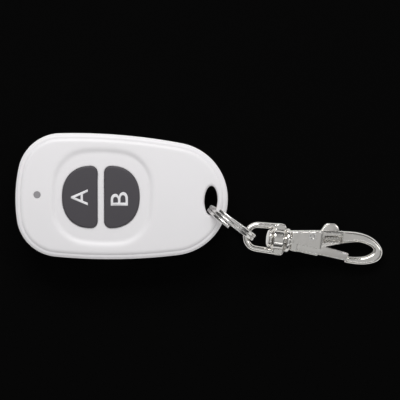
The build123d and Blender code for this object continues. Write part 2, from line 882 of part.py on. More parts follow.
def snap_plate(low, high, shares):
    """Flat plate of the hook between two heights, with straight sides."""
    with BuildPart() as plate:
        with BuildSketch(hook_plane(low)):
            with BuildLine():
                Polyline(*snap_points(shares), close=True)
            make_face()
        extrude(amount=high - low)
    return plate.part


# Shackle: a bent wire bow on a flat base with the swivel's hub
hub_end = shackle_length - hub_set_back
hub_start = hub_end - hub_length
bow_half = (shackle_bow_width - shackle_wire) / 2
flare = radians(shackle_flare_angle)
bow_r = bow_half / cos(flare)
leg_start = bow_centre_x + bow_r * (1 - sin(flare))
leg_end = shackle_length - shackle_base / 2
leg_half = bow_half + (leg_end - leg_start) * sin(flare) / cos(flare)
with BuildPart() as shackle:
    with BuildLine(hook_plane(0)) as bow_path:
        upper_leg = Line((leg_end, leg_half), (leg_start, bow_half))
        bow = ThreePointArc((leg_start, bow_half), (bow_centre_x, 0), (leg_start, -bow_half))
        Line((leg_start, -bow_half), (leg_end, -leg_half))
    with BuildSketch(Plane(origin=bow_path.line @ 0, z_dir=bow_path.line % 0)):
        Circle(shackle_wire / 2)
    sweep(path=bow_path.line)
    with BuildPart(mode=Mode.PRIVATE) as shackle_bar:
        with BuildSketch(hook_plane(-shackle_base_thickness / 2)):
            with Locations((shackle_length - shackle_base / 2, 0)):
                RectangleRounded(shackle_base, shackle_width, shackle_base_corner)
        extrude(amount=shackle_base_thickness)
        bar_faces = shackle_bar.faces().filter_by(hook_plane(0))
        fillet(bar_faces.edges(), shackle_base_edge)
    add(shackle_bar.part)
    with BuildPart(mode=Mode.PRIVATE) as shackle_hub:
        with BuildSketch(cross_plane(hub_start)):
            Circle(hub_diameter / 2)
        extrude(amount=hub_length)
        fillet(shackle_hub.edges().filter_by(GeomType.CIRCLE), hub_edge)
    add(shackle_hub.part)
    with BuildSketch(cross_plane(hub_start)):
        Circle(post_diameter / 2 + post_clearance)
    extrude(amount=shackle_length, mode=Mode.SUBTRACT)
shackle.part.label = "shackle"
export_step(shackle.part, "parts/shackle.step")

# Hook body: swivel post with its riveted head and collar, thick body, arm and nose
head_start = hub_start - swivel_play - head_length
collar_start = shackle_length + collar_gap
collar_end = collar_start + collar_length
cheek = gate_thickness / 2 + gate_side_clearance
arm_outer = [
    (0.332, 0.859),
    (0.400, 0.905),
    (0.555, 0.972),
    (0.701, 1.005),
    (0.852, 0.834),
    (0.960, 0.393),
    (1.000, -0.050),
    (0.981, -0.517),
    (0.889, -0.855),
    (0.745, -0.993),
    (0.615, -0.963),
]
arm_inner = [
    (0.643, -0.589),
    (0.735, -0.561),
    (0.808, -0.478),
    (0.869, -0.314),
    (0.908, 0.020),
    (0.891, 0.166),
    (0.846, 0.291),
    (0.743, 0.416),
    (0.651, 0.335),
    (0.566, 0.224),
    (0.484, 0.081),
    (0.386, -0.104),
]
arm_base = [(0.386, -0.104), (0.332, 0.350), (0.332, 0.859)]
body_shares = [
    (0.002, 0.612),
    (0.332, 0.859),
    (0.336, -0.277),
    (0.330, -0.792),
    (0.002, -0.589),
]
root_shares = [
    (0.250, 0.800),
    (0.332, 0.859),
    (0.400, 0.905),
    (0.555, 0.972),
    (0.568, 0.226),
    (0.484, 0.081),
    (0.386, -0.104),
    (0.332, -0.185),
    (0.250, -0.200),
]
cheek_cut_shares = [
    (0.075, -0.159),
    (0.309, -0.293),
    (0.400, -0.345),
    (0.400, -1.300),
    (0.075, -1.300),
]
lever_space_shares = [
    (0.071, 1.600),
    (0.071, -1.600),
    (0.590, -1.600),
    (0.5676, 0.160),
    (0.5560, 0.508),
    (0.5190, 1.600),
]
with BuildPart() as swivel_post:
    with BuildSketch(cross_plane(head_start)):
        Circle(head_diameter / 2)
    extrude(amount=head_length)
    fillet(swivel_post.edges().filter_by(GeomType.CIRCLE), head_edge)
    with BuildSketch(cross_plane(head_start)):
        Circle(post_diameter / 2)
    extrude(amount=snap_start - head_start)

with BuildPart() as collar:
    with BuildSketch(cross_plane(collar_start)):
        Circle(collar_diameter / 2)
    extrude(amount=collar_length)
    fillet(collar.edges().filter_by(GeomType.CIRCLE), collar_edge)
    with BuildSketch(cross_plane(collar_end - collar_edge)):
        Circle(neck_diameter / 2)
    extrude(amount=neck_length)

with BuildPart() as body_block:
    with BuildSketch(hook_plane(-body_thickness / 2)):
        with BuildLine():
            Polyline(*snap_points(body_shares), close=True)
        make_face()
    extrude(amount=body_thickness)
    fillet(body_block.edges(), body_edge)

with BuildPart() as root_block:
    with BuildSketch(hook_plane(-root_thickness / 2)):
        with BuildLine():
            Polyline(*snap_points(root_shares), close=True)
        make_face()
    extrude(amount=root_thickness)
    chamfer(root_block.faces().filter_by(hook_plane(0)).edges(), root_edge)

with BuildPart() as arm:
    with BuildSketch(hook_plane(-arm_thickness / 2)):
        with BuildLine():
            Spline(*snap_points(arm_outer))
            Line(snap_points(arm_outer)[-1], snap_points(arm_inner)[0])
            Spline(*snap_points(arm_inner))
            Polyline(*snap_points(arm_base))
        make_face()
    extrude(amount=arm_thickness)
    arm_edges = arm.faces().filter_by(hook_plane(0)).edges()
    arm_edges = arm_edges.filter_by(lambda edge: edge.geom_type == GeomType.BSPLINE)
    fillet(arm_edges, arm_edge)

pivot_point = snap_points([pivot_shares])[0]
with BuildPart() as hook_body:
    add(swivel_post.part)
    add(collar.part)
    add(body_block.part)
    add(root_block.part)
    add(arm.part)
    add(snap_plate(-cheek, cheek, lever_space_shares), mode=Mode.SUBTRACT)
    add(snap_plate(cheek, body_thickness, cheek_cut_shares), mode=Mode.SUBTRACT)
    with BuildSketch(hook_plane(-body_thickness)):
        with Locations(pivot_point):
            Circle(pivot_diameter / 2 + pivot_clearance)
    extrude(amount=2 * body_thickness, mode=Mode.SUBTRACT)
    with BuildSketch(hook_plane(-body_thickness)):
        with Locations(snap_points([window_shares])[0]):
            Rectangle(window_length, spring_window, rotation=spring_tilt_angle)
    extrude(amount=2 * body_thickness, mode=Mode.SUBTRACT)
hook_body.part.label = "hook_body"
export_step(hook_body.part, "parts/hook_body.step")

# Gate lever: thumb tab, pivot boss, spring face and the bar that closes on the nose
gate_shares = [
    (0.167, 0.670),
    (0.305, 0.774),
    (0.328, 0.901),
    (0.359, 1.236),
    (0.382, 1.351),
    (0.463, 1.374),
    (0.497, 1.224),
    (0.513, 0.947),
    (0.509, 0.751),
    (0.342, 0.612),
    (0.351, 0.104),
    (0.370, -0.104),
    (0.424, -0.169),
    (0.633, -0.356),
    (0.645, -0.404),
    (0.645, -0.543),
    (0.637, -0.566),
    (0.610, -0.841),
    (0.347, -0.702),
    (0.100, -0.543),
    (0.079, -0.420),
    (0.079, -0.260),
    (0.092, -0.110),
    (0.167, 0.185),
    (0.152, 0.370),
    (0.152, 0.560),
]
with BuildPart() as gate_lever:
    add(snap_plate(-gate_thickness / 2, gate_thickness / 2, gate_shares))
    with BuildSketch(hook_plane(-gate_thickness / 2)):
        with Locations(pivot_point):
            Circle(pivot_diameter / 2 + pivot_clearance)
    extrude(amount=gate_thickness, mode=Mode.SUBTRACT)
gate_lever.part.label = "gate_lever"
export_step(gate_lever.part, "parts/gate_lever.step")

# Pivot pin: riveted through both cheeks, with a dished head above
with BuildPart() as pivot_pin:
    with BuildSketch(hook_plane(-body_thickness / 2)):
        with Locations(pivot_point):
            Circle(pivot_diameter / 2)
    extrude(amount=body_thickness)
    with BuildSketch(hook_plane(body_thickness / 2)):
        with Locations(pivot_point):
            Circle(pivot_head / 2)
    extrude(amount=pivot_head_height)
    with BuildSketch(hook_plane(body_thickness / 2 + pivot_head_height)):
        with Locations(pivot_point):
            Circle(pivot_dimple / 2)
    extrude(amount=-pivot_dimple_depth, taper=pivot_dimple_angle, mode=Mode.SUBTRACT)
pivot_pin.part.label = "pivot_pin"
export_step(pivot_pin.part, "parts/pivot_pin.step")

# Gate spring: half-turn curls stacked along a leaning axis, with straight ends
coil_r = (spring_diameter - spring_wire) / 2
end_run = spring_lead + spring_bend
curl_rise = (spring_length - 2 * end_run) / spring_half_turns
curl_reach = hypot(coil_r, curl_rise / 2)
bend_part = spring_bend * cos(radians(bend_angle))
seat = snap_points([window_shares])[0]
lean = radians(spring_tilt_angle)
seat_start = (seat[0] - cos(lean) * spring_length / 2, seat[1] - sin(lean) * spring_length / 2)
spring_side = hook_up.cross(hook_x)
spring_axis = hook_x * cos(lean) + spring_side * sin(lean)
spring_origin = hook_origin + hook_x * seat_start[0] + spring_side * seat_start[1]
spring_plane = Plane(origin=spring_origin, x_dir=hook_up, z_dir=spring_axis)
with BuildLine() as curls:
    Line((coil_r, -spring_bend, 0), (coil_r, -spring_bend, spring_lead))
    ThreePointArc(
        (coil_r, -spring_bend, spring_lead),
        (coil_r, -bend_part, end_run - spring_bend + bend_part),
        (coil_r, 0, end_run),
    )
    for turn in range(spring_half_turns):
        hand = 1 if turn % 2 == 0 else -1
        low = end_run + turn * curl_rise
        ThreePointArc(
            (hand * coil_r, 0, low),
            (0, hand * curl_reach, low + curl_rise / 2),
            (-hand * coil_r, 0, low + curl_rise),
        )
    last = spring_length - end_run
    side = 1 if spring_half_turns % 2 == 0 else -1
    ThreePointArc(
        (side * coil_r, 0, last),
        (side * coil_r, side * bend_part, last + spring_bend - bend_part),
        (side * coil_r, side * spring_bend, last + spring_bend),
    )
    Line(
        (side * coil_r, side * spring_bend, last + spring_bend),
        (side * coil_r, side * spring_bend, spring_length),
    )
spring_path = curls.line.moved(spring_plane.location)
spring_points = [spring_path @ (step / spring_samples) for step in range(spring_samples + 1)]
apart = round(spring_samples / spring_half_turns)
reaches = []
for place in range(spring_samples - apart + 1):
    for other in spring_points[place + apart :]:
        reaches.append((other - spring_points[place]).length)
print("gate spring: least gap to itself", round(min(reaches) - spring_wire, 3), "mm")
with BuildPart() as gate_spring:
    with BuildSketch(Plane(origin=spring_path @ 0, z_dir=spring_path % 0)):
        Circle(spring_wire / 2)
    sweep(path=spring_path)
gate_spring.part.label = "gate_spring"
export_step(gate_spring.part, "parts/gate_spring.step")
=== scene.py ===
import math

import bmesh
import bpy
import numpy as np
from mathutils import Matrix, Vector
from mathutils.geometry import delaunay_2d_cdt


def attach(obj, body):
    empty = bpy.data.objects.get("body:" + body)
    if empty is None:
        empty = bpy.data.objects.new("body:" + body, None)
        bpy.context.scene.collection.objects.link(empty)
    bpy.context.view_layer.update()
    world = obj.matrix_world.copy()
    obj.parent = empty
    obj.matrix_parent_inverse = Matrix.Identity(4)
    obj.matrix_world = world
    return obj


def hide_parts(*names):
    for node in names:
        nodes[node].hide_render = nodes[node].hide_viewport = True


# An alarm key fob on a split ring with a swivel snap hook, dressed round its CAD pieces.
# The numbers below are millimetres, as in the part's own source; mm turns them to metres.
mm = 0.001

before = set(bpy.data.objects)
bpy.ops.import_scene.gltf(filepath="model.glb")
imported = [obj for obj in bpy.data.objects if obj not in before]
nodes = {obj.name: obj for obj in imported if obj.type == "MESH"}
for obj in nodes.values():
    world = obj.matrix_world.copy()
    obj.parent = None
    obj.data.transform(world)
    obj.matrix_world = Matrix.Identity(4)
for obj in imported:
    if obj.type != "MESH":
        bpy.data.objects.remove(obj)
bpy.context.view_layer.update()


# Colours and nodes


plastic_ior = 1.53
plating_blotch = 3.0
scratch_grain = 0.3


def linear(code):
    """A colour written as sRGB hex, in the linear values the shader takes."""
    parts = [int(code[i : i + 2], 16) / 255 for i in (1, 3, 5)]
    curved = [c / 12.92 if c <= 0.04045 else ((c + 0.055) / 1.055) ** 2.4 for c in parts]
    return (*curved, 1)


def add(tree, kind, inputs=None, **settings):
    """Add a node, set its properties, and set or link its sockets."""
    node = tree.nodes.new(kind)
    for name, value in settings.items():
        setattr(node, name, value)
    for name, value in (inputs or {}).items():
        if isinstance(value, bpy.types.NodeSocket):
            tree.links.new(value, node.inputs[name])
        else:
            node.inputs[name].default_value = value
    return node


def new_material(name):
    """An empty node material with its shader and output, and its object coordinates."""
    material = bpy.data.materials.new(name)
    material.use_nodes = True
    tree = material.node_tree
    tree.nodes.clear()
    place = add(tree, "ShaderNodeTexCoord").outputs["Object"]
    shader = add(tree, "ShaderNodeBsdfPrincipled")
    add(tree, "ShaderNodeOutputMaterial", {"Surface": shader.outputs["BSDF"]})
    return material, tree, place, shader


def moulded(name, first, second, roughness, grain, depth, flow=14.0):
    """Moulded plastic: slight tone changes along the flow, and a spark-eroded skin."""
    material, tree, place, shader = new_material(name)
    inputs = {"Vector": place, "Scale": 1 / (flow * mm), "Detail": 2.0}
    tone = add(tree, "ShaderNodeTexNoise", inputs).outputs["Fac"]
    inputs = {"Vector": place, "Scale": 1 / (grain * mm), "Detail": 3.0}
    skin = add(tree, "ShaderNodeTexNoise", inputs).outputs["Fac"]
    inputs = {"Factor": tone, "A": linear(first), "B": linear(second)}
    colour = add(tree, "ShaderNodeMix", inputs, data_type="RGBA")
    inputs = {"Value": skin, "To Min": roughness - 0.05, "To Max": roughness + 0.05}
    matt = add(tree, "ShaderNodeMapRange", inputs)
    bump = add(tree, "ShaderNodeBump", {"Height": skin, "Strength": 0.5, "Distance": depth * mm})
    tree.links.new(colour.outputs["Result"], shader.inputs["Base Color"])
    tree.links.new(matt.outputs["Result"], shader.inputs["Roughness"])
    tree.links.new(bump.outputs["Normal"], shader.inputs["Normal"])
    shader.inputs["IOR"].default_value = plastic_ior
    return material


def plated(name, first, second, roughness, wave, depth, edge=0.1):
    """Bright plating on metal: even colour, soft waves of the polished base, fine scratches."""
    material, tree, place, shader = new_material(name)
    inputs = {"Vector": place, "Scale": 1 / (plating_blotch * mm), "Detail": 2.0}
    tone = add(tree, "ShaderNodeTexNoise", inputs).outputs["Fac"]
    inputs = {"Vector": place, "Scale": 1 / (wave * mm), "Detail": 1.0}
    swell = add(tree, "ShaderNodeTexNoise", inputs).outputs["Fac"]
    inputs = {"Vector": place, "Scale": 1 / (scratch_grain * mm), "Detail": 4.0}
    scratch = add(tree, "ShaderNodeTexNoise", inputs).outputs["Fac"]
    inputs = {"Factor": tone, "A": linear(first), "B": linear(second)}
    colour = add(tree, "ShaderNodeMix", inputs, data_type="RGBA")
    inputs = {"Value": scratch, "To Min": roughness - 0.05, "To Max": roughness + 0.07}
    polish = add(tree, "ShaderNodeMapRange", inputs)
    soft_edge = add(tree, "ShaderNodeBevel", {"Radius": edge * mm}, samples=6).outputs["Normal"]
    inputs = {"Height": swell, "Strength": 0.6, "Distance": depth * mm, "Normal": soft_edge}
    bump = add(tree, "ShaderNodeBump", inputs)
    tree.links.new(colour.outputs["Result"], shader.inputs["Base Color"])
    tree.links.new(polish.outputs["Result"], shader.inputs["Roughness"])
    tree.links.new(bump.outputs["Normal"], shader.inputs["Normal"])
    shader.inputs["Metallic"].default_value = 1.0
    return material


# ABS of the shell, injection moulded in white, with a very fine spark-eroded skin
white_abs = moulded("white_moulded_abs", "#eceaec", "#e9e7e9", 0.42, 0.35, 0.012)
# ABS of the keys, moulded dark grey with a coarser matt skin
grey_abs = moulded("dark_grey_moulded_abs", "#413e43", "#454247", 0.55, 0.30, 0.020)
# Pad-printed ink of the letters, flat white with soft tone changes
white_ink = moulded("white_pad_print_ink", "#ecebed", "#e4e3e6", 0.5, 0.25, 0.006)
# Polycarbonate of the light pipe, tinted grey
smoke_pc = moulded("smoke_grey_polycarbonate", "#8e8c8f", "#9a989b", 0.25, 0.6, 0.004)
# Zinc die casting, barrel polished and plated with bright nickel
nickel_cast = plated("bright_nickel_on_cast_zinc", "#f4f2ee", "#e6e3de", 0.14, 2.4, 0.10, 0.35)
# Steel wire with bright nickel, drawn smooth
nickel_wire = plated("bright_nickel_on_steel_wire", "#f4f3f1", "#eae8e5", 0.15, 2.2, 0.012)
# Spring steel, drawn and left dull
spring_wire = plated("drawn_spring_steel", "#e0deda", "#d2cfcb", 0.26, 0.8, 0.010)
# Zinc-plated steel of the housing screws
zinc_steel = plated("zinc_plated_steel", "#b5b6b8", "#a5a6a9", 0.30, 0.9, 0.010)
# Nickel-plated steel of the cell's can and the resonator's lid
can_steel = plated("nickel_plated_can_steel", "#bcbab4", "#aeaca6", 0.28, 1.2, 0.006)
# Phosphor bronze strip of the contacts
bronze = plated("phosphor_bronze_strip", "#c9a46a", "#b8935a", 0.30, 1.2, 0.006)
# Tinned copper wire of the antenna
copper = plated("tinned_copper_wire", "#c8895c", "#b97a50", 0.28, 0.8, 0.006)
# Glass-fibre laminate with green solder mask
laminate = moulded("green_glass_fibre_laminate", "#1d5a34", "#1a5230", 0.35, 0.5, 0.010)
# Nylon bodies of the switches and epoxy of the chips
black_epoxy = moulded("black_moulded_epoxy", "#222224", "#28282a", 0.5, 0.25, 0.012)
# Natural acetal of the switch plungers
natural_acetal = moulded("natural_acetal", "#c9c4b6", "#d2cdc0", 0.4, 0.4, 0.006)
# Ceramic and clear resin of the LED
led_resin = moulded("led_ceramic_and_resin", "#dcd6c0", "#e4dfcc", 0.3, 0.5, 0.004)

finishes = {
    "rear_housing": white_abs,
    "front_cover": white_abs,
    "key_a": grey_abs,
    "key_b": grey_abs,
    "led_window": smoke_pc,
    "led_chip": led_resin,
    "circuit_board": laminate,
    "switch_a_base": black_epoxy,
    "switch_b_base": black_epoxy,
    "switch_a_plunger": natural_acetal,
    "switch_b_plunger": natural_acetal,
    "battery": can_steel,
    "battery_positive_clip": bronze,
    "battery_negative_contact": bronze,
    "encoder_chip": black_epoxy,
    "resonator": can_steel,
    "chip_parts": black_epoxy,
    "antenna_loop": copper,
    "housing_screws": zinc_steel,
    "split_ring": nickel_wire,
    "shackle": nickel_cast,
    "hook_body": nickel_cast,
    "gate_lever": nickel_cast,
    "pivot_pin": nickel_wire,
    "gate_spring": spring_wire,
}
for name, material in finishes.items():
    nodes[name].data.materials.clear()
    nodes[name].data.materials.append(material)


# Sizes shared with the CAD source
fob_length = 58.0
fob_width = 34.14
led_end_radius = 41.56
shoulder_radius = 11.55
side_radius = 157.6
ring_end_radius_share = 0.451
fob_thickness = 12.5
crown_long_radius = 270.00247
crown_side_radius = 140.07416
half_length = fob_length / 2
half_width = fob_width / 2
seat_height = 8.0
cover_wall = 1.9
cover_edge = 1.29
cover_edge_width = 0.9
cover_edge_drop = 0.35
skirt_wall = 1.1
dish_x = -5.249
dish_half_length = 12.8
dish_half_width = 12.2
dish_corner = 8.6
dish_bow_radius = 41.97
dish_depth = 0.65
dish_start = -0.1
dish_slope = 2.3
key_gap = 1.9
key_reach = 9.58
key_height = 16.78
key_corner = 1.7
key_fullness = 2.25
key_clearance = 0.03
key_shift = -0.41
key_below_crown = 0.2
lens_place = (-23.072, 0.0)
lens_hole = 0.97
lens_edge = 0.08
slot_place = (24.4, 0.0)
slot_half = (1.80, 4.025)
slot_edge = 0.7
block_x = 20.0
key_turn = math.radians(2.0)
key_hole_edge = 0.25
skin_spacing = 0.45
skin_margin = 0.25
edge_ring_shares = (0.08, 0.25, 0.5, 0.8)
merge_gap = 0.002
key_crease = math.radians(35)
gate_edge = 0.4
gate_crease = math.radians(32)
gate_corner = math.radians(60)
gate_flat = math.radians(2)


def crown(x, y, peak):
    """Height of the crowned surface over points, in millimetres."""
    inner = crown_long_radius - crown_side_radius + np.sqrt(crown_side_radius**2 - y**2)
    return peak - crown_long_radius + np.sqrt(inner**2 - (x - dish_x) ** 2)


def finish_piece(name, mesh, material, body):
    """Make a mesh into a piece that rides on a body."""
    piece = bpy.data.objects.new(name, mesh)
    bpy.context.scene.collection.objects.link(piece)
    mesh.materials.clear()
    mesh.materials.append(material)
    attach(piece, body)
    return piece


def arc(centre, radius, start, sweep, spacing=0.5):
    """Points along an arc, without its last one."""
    count = max(2, math.ceil(radius * math.radians(abs(sweep)) / spacing))
    turns = np.radians(start + sweep * np.arange(count) / count)
    return np.column_stack([centre[0] + radius * np.cos(turns), centre[1] + radius * np.sin(turns)])


def bearing(centre, target):
    """Direction from one point to another, in degrees."""
    return math.degrees(math.atan2(target[1] - centre[1], target[0] - centre[0]))


def mirrored(points):
    """The same points on the other side of the x axis, in the order that closes the loop."""
    return points[::-1] * (1, -1)


def turned(points):
    """Points turned as the keys sit in the shell."""
    cos, sin = math.cos(key_turn), math.sin(key_turn)
    return points @ np.array([[cos, sin], [-sin, cos]])


def shell_loop(inset):
    """The shell's outline as a closed loop: six tangent arcs, offset inwards."""
    led_r, shoulder_r, side_r = (
        radius - inset for radius in (led_end_radius, shoulder_radius, side_radius)
    )
    end_r = fob_width * ring_end_radius_share - inset
    led_centre = np.array([inset - half_length + led_r, 0])
    end_centre = np.array([half_length - inset - end_r, 0])
    side_drop = side_r - half_width + inset
    run = math.sqrt((side_r - end_r) ** 2 - side_drop**2)
    side_centre = np.array([end_centre[0] - run, -side_drop])
    span = math.dist(led_centre, side_centre)
    forward = (side_centre - led_centre) / span
    near, far = led_r - shoulder_r, side_r - shoulder_r
    along = (near**2 - far**2 + span**2) / (2 * span)
    across = math.sqrt(near**2 - along**2)
    shoulder_centre = led_centre + forward * along + np.array([forward[1], -forward[0]]) * across
    led_angle = bearing(led_centre, shoulder_centre)
    side_angle = bearing(side_centre, shoulder_centre)
    end_angle = bearing(side_centre, end_centre)
    upper = [
        arc(end_centre, end_r, 0, end_angle),
        arc(side_centre, side_r, end_angle, side_angle - end_angle),
        arc(shoulder_centre, shoulder_r, side_angle, led_angle - side_angle),
        arc(led_centre, led_r, led_angle, 180 - led_angle),
        [(inset - half_length, 0)],
    ]
    upper = np.vstack(upper)
    return np.vstack([upper, mirrored(upper[1:-1])])


def dish_loop():
    """The dish's outline as a closed loop: four shallow arcs and four corner arcs."""
    side_centre = dish_half_length - dish_bow_radius
    top_centre = dish_half_width - dish_bow_radius
    reach = dish_bow_radius - dish_corner
    spread = math.hypot(side_centre, top_centre)
    half_gap = math.sqrt(reach**2 - (spread / 2) ** 2)
    middle = np.array([side_centre, top_centre]) / 2
    centre = middle + np.array([-top_centre, -side_centre]) / spread * half_gap
    low = math.degrees(math.atan2(centre[1], centre[0] - side_centre))
    high = math.degrees(math.atan2(centre[1] - top_centre, centre[0]))
    quarter = np.vstack(
        [
            arc((side_centre, 0), dish_bow_radius, 0, low),
            arc(centre, dish_corner, low, high - low),
            arc((0, top_centre), dish_bow_radius, high, 90 - high),
        ]
    )
    half = np.vstack([quarter, [(0, dish_half_width)], (quarter * (-1, 1))[::-1]])
    return np.vstack([half, mirrored(half[1:-1])]) + (dish_x, 0)


def key_loop(side, grow):
    """A key's outline as a closed loop: straight side by the gap, full round side away."""
    wide, tall = key_reach - key_corner, key_height / 2
    turns = np.radians(np.linspace(0, 90, 40))
    x_share = np.cos(turns) ** (2 / key_fullness)
    y_share = np.sin(turns) ** (2 / key_fullness)
    slope = np.column_stack(
        [x_share ** (key_fullness - 1) / wide, y_share ** (key_fullness - 1) / tall]
    )
    slope /= np.linalg.norm(slope, axis=1)[:, None]
    upper = np.column_stack([key_corner + wide * x_share, tall * y_share]) + grow * slope
    corner = arc((key_corner, tall - key_corner), key_corner + grow, 90, 90, 0.25)
    flat = [(-grow, y) for y in np.linspace(tall - key_corner, 0, 12)]
    half = np.vstack([upper, corner[1:], flat])
    loop = np.vstack([half, mirrored(half[1:-1])])
    return turned(loop * (side, 1) + (side * key_gap / 2, 0)) + (dish_x + key_shift, 0)


def ellipse_loop(place, half, count=72):
    """An ellipse as a closed loop."""
    turns = np.linspace(0, 2 * math.pi, count, endpoint=False)
    return np.column_stack([place[0] + half[0] * np.cos(turns), place[1] + half[1] * np.sin(turns)])


def distance(points, loop):
    """Distance of points to a closed loop."""
    start, end = loop, np.roll(loop, -1, 0)
    run = end - start
    nearest = np.full(len(points), np.inf)
    for a, d in zip(start, run):
        share = np.clip((points - a) @ d / (d @ d), 0, 1)
        nearest = np.minimum(nearest, np.linalg.norm(points - a - share[:, None] * d, axis=1))
    return nearest


def inside(points, loop):
    """Whether points lie inside a closed loop."""
    count = np.zeros(len(points), int)
    for a, b in zip(loop, np.roll(loop, -1, 0)):
        crossed = (a[1] > points[:, 1]) != (b[1] > points[:, 1])
        if a[1] != b[1]:
            cut = a[0] + (points[:, 1] - a[1]) * (b[0] - a[0]) / (b[1] - a[1])
            count += crossed & (points[:, 0] < cut)
    return count % 2 == 1


def rounding(edge_distance, radius):
    """How far a rounded edge falls at a distance from it."""
    left = np.clip(radius - edge_distance, 0, radius)
    return radius - np.sqrt(radius**2 - left**2)


def cover_skin():
    """The front cover, with its dish falling in one soft curve and its edges rounded."""
    rim = shell_loop(cover_edge)
    dish = dish_loop()
    holes = [
        (key_loop(-1, key_clearance), key_hole_edge),
        (key_loop(1, key_clearance), key_hole_edge),
        (ellipse_loop(lens_place, (lens_hole, lens_hole)), lens_edge),
        (ellipse_loop(slot_place, slot_half), slot_edge),
    ]
    loops = [(rim, cover_edge_width)] + holes
    xs = np.arange(-half_length, half_length, skin_spacing)
    ys = np.arange(-half_width, half_width, skin_spacing)
    grid = np.array([(x, y) for x in xs for y in ys])
    keep = inside(grid, rim)
    for loop, radius in loops:
        keep &= distance(grid, loop) > skin_margin
    for loop, radius in holes:
        keep &= ~inside(grid, loop)
    points, edges = [grid[keep]], []
    first = len(points[0])
    for loop, radius in loops:
        points.append(loop)
        count = len(loop)
        edges += [(first + step, first + (step + 1) % count) for step in range(count)]
        first += count
    for loop, radius in loops:
        ahead, behind = np.roll(loop, -1, 0), np.roll(loop, 1, 0)
        normal = np.column_stack([(ahead - behind)[:, 1], -(ahead - behind)[:, 0]])
        normal /= np.linalg.norm(normal, axis=1)[:, None]
        probe = inside(loop + 0.05 * normal, loop)
        normal[probe != (loop is rim)] *= -1
        for share in edge_ring_shares:
            points.append(loop + share * radius * normal)
    points = np.vstack(points)
    corners, _, faces, _, _, _ = delaunay_2d_cdt(
        [Vector(point) for point in points], edges, [], 0, 0.001
    )
    flat = np.array([tuple(corner) for corner in corners])
    faces = np.array([tuple(face) for face in faces])
    middle = flat[faces].mean(1)
    wanted = inside(middle, rim)
    for loop, radius in holes:
        wanted &= ~inside(middle, loop)
    faces = faces[wanted]
    used = np.unique(faces)
    renumber = np.full(len(flat), -1)
    renumber[used] = np.arange(len(used))
    flat, faces = flat[used], renumber[faces]
    x, y = flat[:, 0], flat[:, 1]
    crest = crown(x, y, fob_thickness)
    beyond = distance(flat, dish) * np.where(inside(flat, dish), -1, 1)
    slope = np.clip((beyond - dish_start) / dish_slope, 0, 1)
    top = crest - dish_depth * (1 - slope) ** 4 * (1 + 4 * slope)
    left = np.clip(1 - distance(flat, rim) / cover_edge_width, 0, 1)
    top -= cover_edge_drop * left**2
    for loop, radius in holes:
        top -= rounding(distance(flat, loop), radius)
    low_band = (distance(flat, rim) < skirt_wall) | (x > block_x)
    bottom = np.where(low_band, seat_height, crest - cover_wall)
    verts = np.vstack([np.column_stack([x, y, top]), np.column_stack([x, y, bottom])]) * mm
    count = len(flat)
    work = bmesh.new()
    made = [work.verts.new(vert) for vert in verts]
    for a, b, c in faces:
        work.faces.new((made[a], made[b], made[c]))
        work.faces.new((made[c + count], made[b + count], made[a + count]))
    work.verts.index_update()
    for edge in [edge for edge in work.edges if edge.is_boundary]:
        a, b = (vert.index for vert in edge.verts)
        if a < count:
            work.faces.new((made[a], made[b], made[b + count], made[a + count]))
    bmesh.ops.recalc_face_normals(work, faces=work.faces)
    for face in work.faces:
        face.smooth = True
    mesh = bpy.data.meshes.new("cover_skin")
    work.to_mesh(mesh)
    work.free()
    skin = finish_piece("cover_skin", mesh, white_abs, "housing")
    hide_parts("front_cover")


cover_skin()


def seated_key(name):
    """A copy of a key, turned and shifted as it sits in the photo."""
    mesh = nodes[name].data.copy()
    work = bmesh.new()
    work.from_mesh(mesh)
    bmesh.ops.remove_doubles(work, verts=work.verts, dist=merge_gap * mm)
    places = np.array([vert.co[:2] for vert in work.verts]) / mm - (dish_x, 0)
    places = turned(places) + (dish_x + key_shift, 0)
    for vert, place in zip(work.verts, places * mm):
        vert.co[0], vert.co[1] = place
    for face in work.faces:
        face.smooth = True
    for edge in work.edges:
        edge.smooth = len(edge.link_faces) == 2 and edge.calc_face_angle() < key_crease
    work.to_mesh(mesh)
    work.free()
    copy = finish_piece(f"{name}_cap", mesh, grey_abs, name)
    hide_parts(name)


seated_key("key_a")
seated_key("key_b")


def softened_gate():
    """A copy of the gate with the rounded edges of a tumbled casting."""
    mesh = nodes["gate_lever"].data.copy()
    work = bmesh.new()
    work.from_mesh(mesh)
    bmesh.ops.remove_doubles(work, verts=work.verts, dist=merge_gap * mm)
    bmesh.ops.dissolve_limit(work, angle_limit=gate_flat, verts=work.verts, edges=work.edges)
    sharp = [
        edge
        for edge in work.edges
        if len(edge.link_faces) == 2 and edge.calc_face_angle() > gate_corner
    ]
    bmesh.ops.bevel(
        work,
        geom=sharp,
        offset=gate_edge * mm,
        segments=3,
        profile=0.5,
        affect="EDGES",
        clamp_overlap=True,
    )
    bmesh.ops.triangulate(work, faces=work.faces)
    bmesh.ops.recalc_face_normals(work, faces=work.faces)
    for face in work.faces:
        face.smooth = True
    for edge in work.edges:
        edge.smooth = len(edge.link_faces) == 2 and edge.calc_face_angle() < gate_crease
    work.to_mesh(mesh)
    work.free()
    gate = finish_piece("gate_casting", mesh, nickel_cast, "gate")
    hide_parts("gate_lever")


softened_gate()


# Floor of the spring's window, which the photo shows as a blind pocket in the casting
hook_up = np.array((0.1646154, -0.0149812, 0.9862441))
pocket_half = (2.80, 0.96)
pocket_top = -0.95
pocket_bottom = -1.45


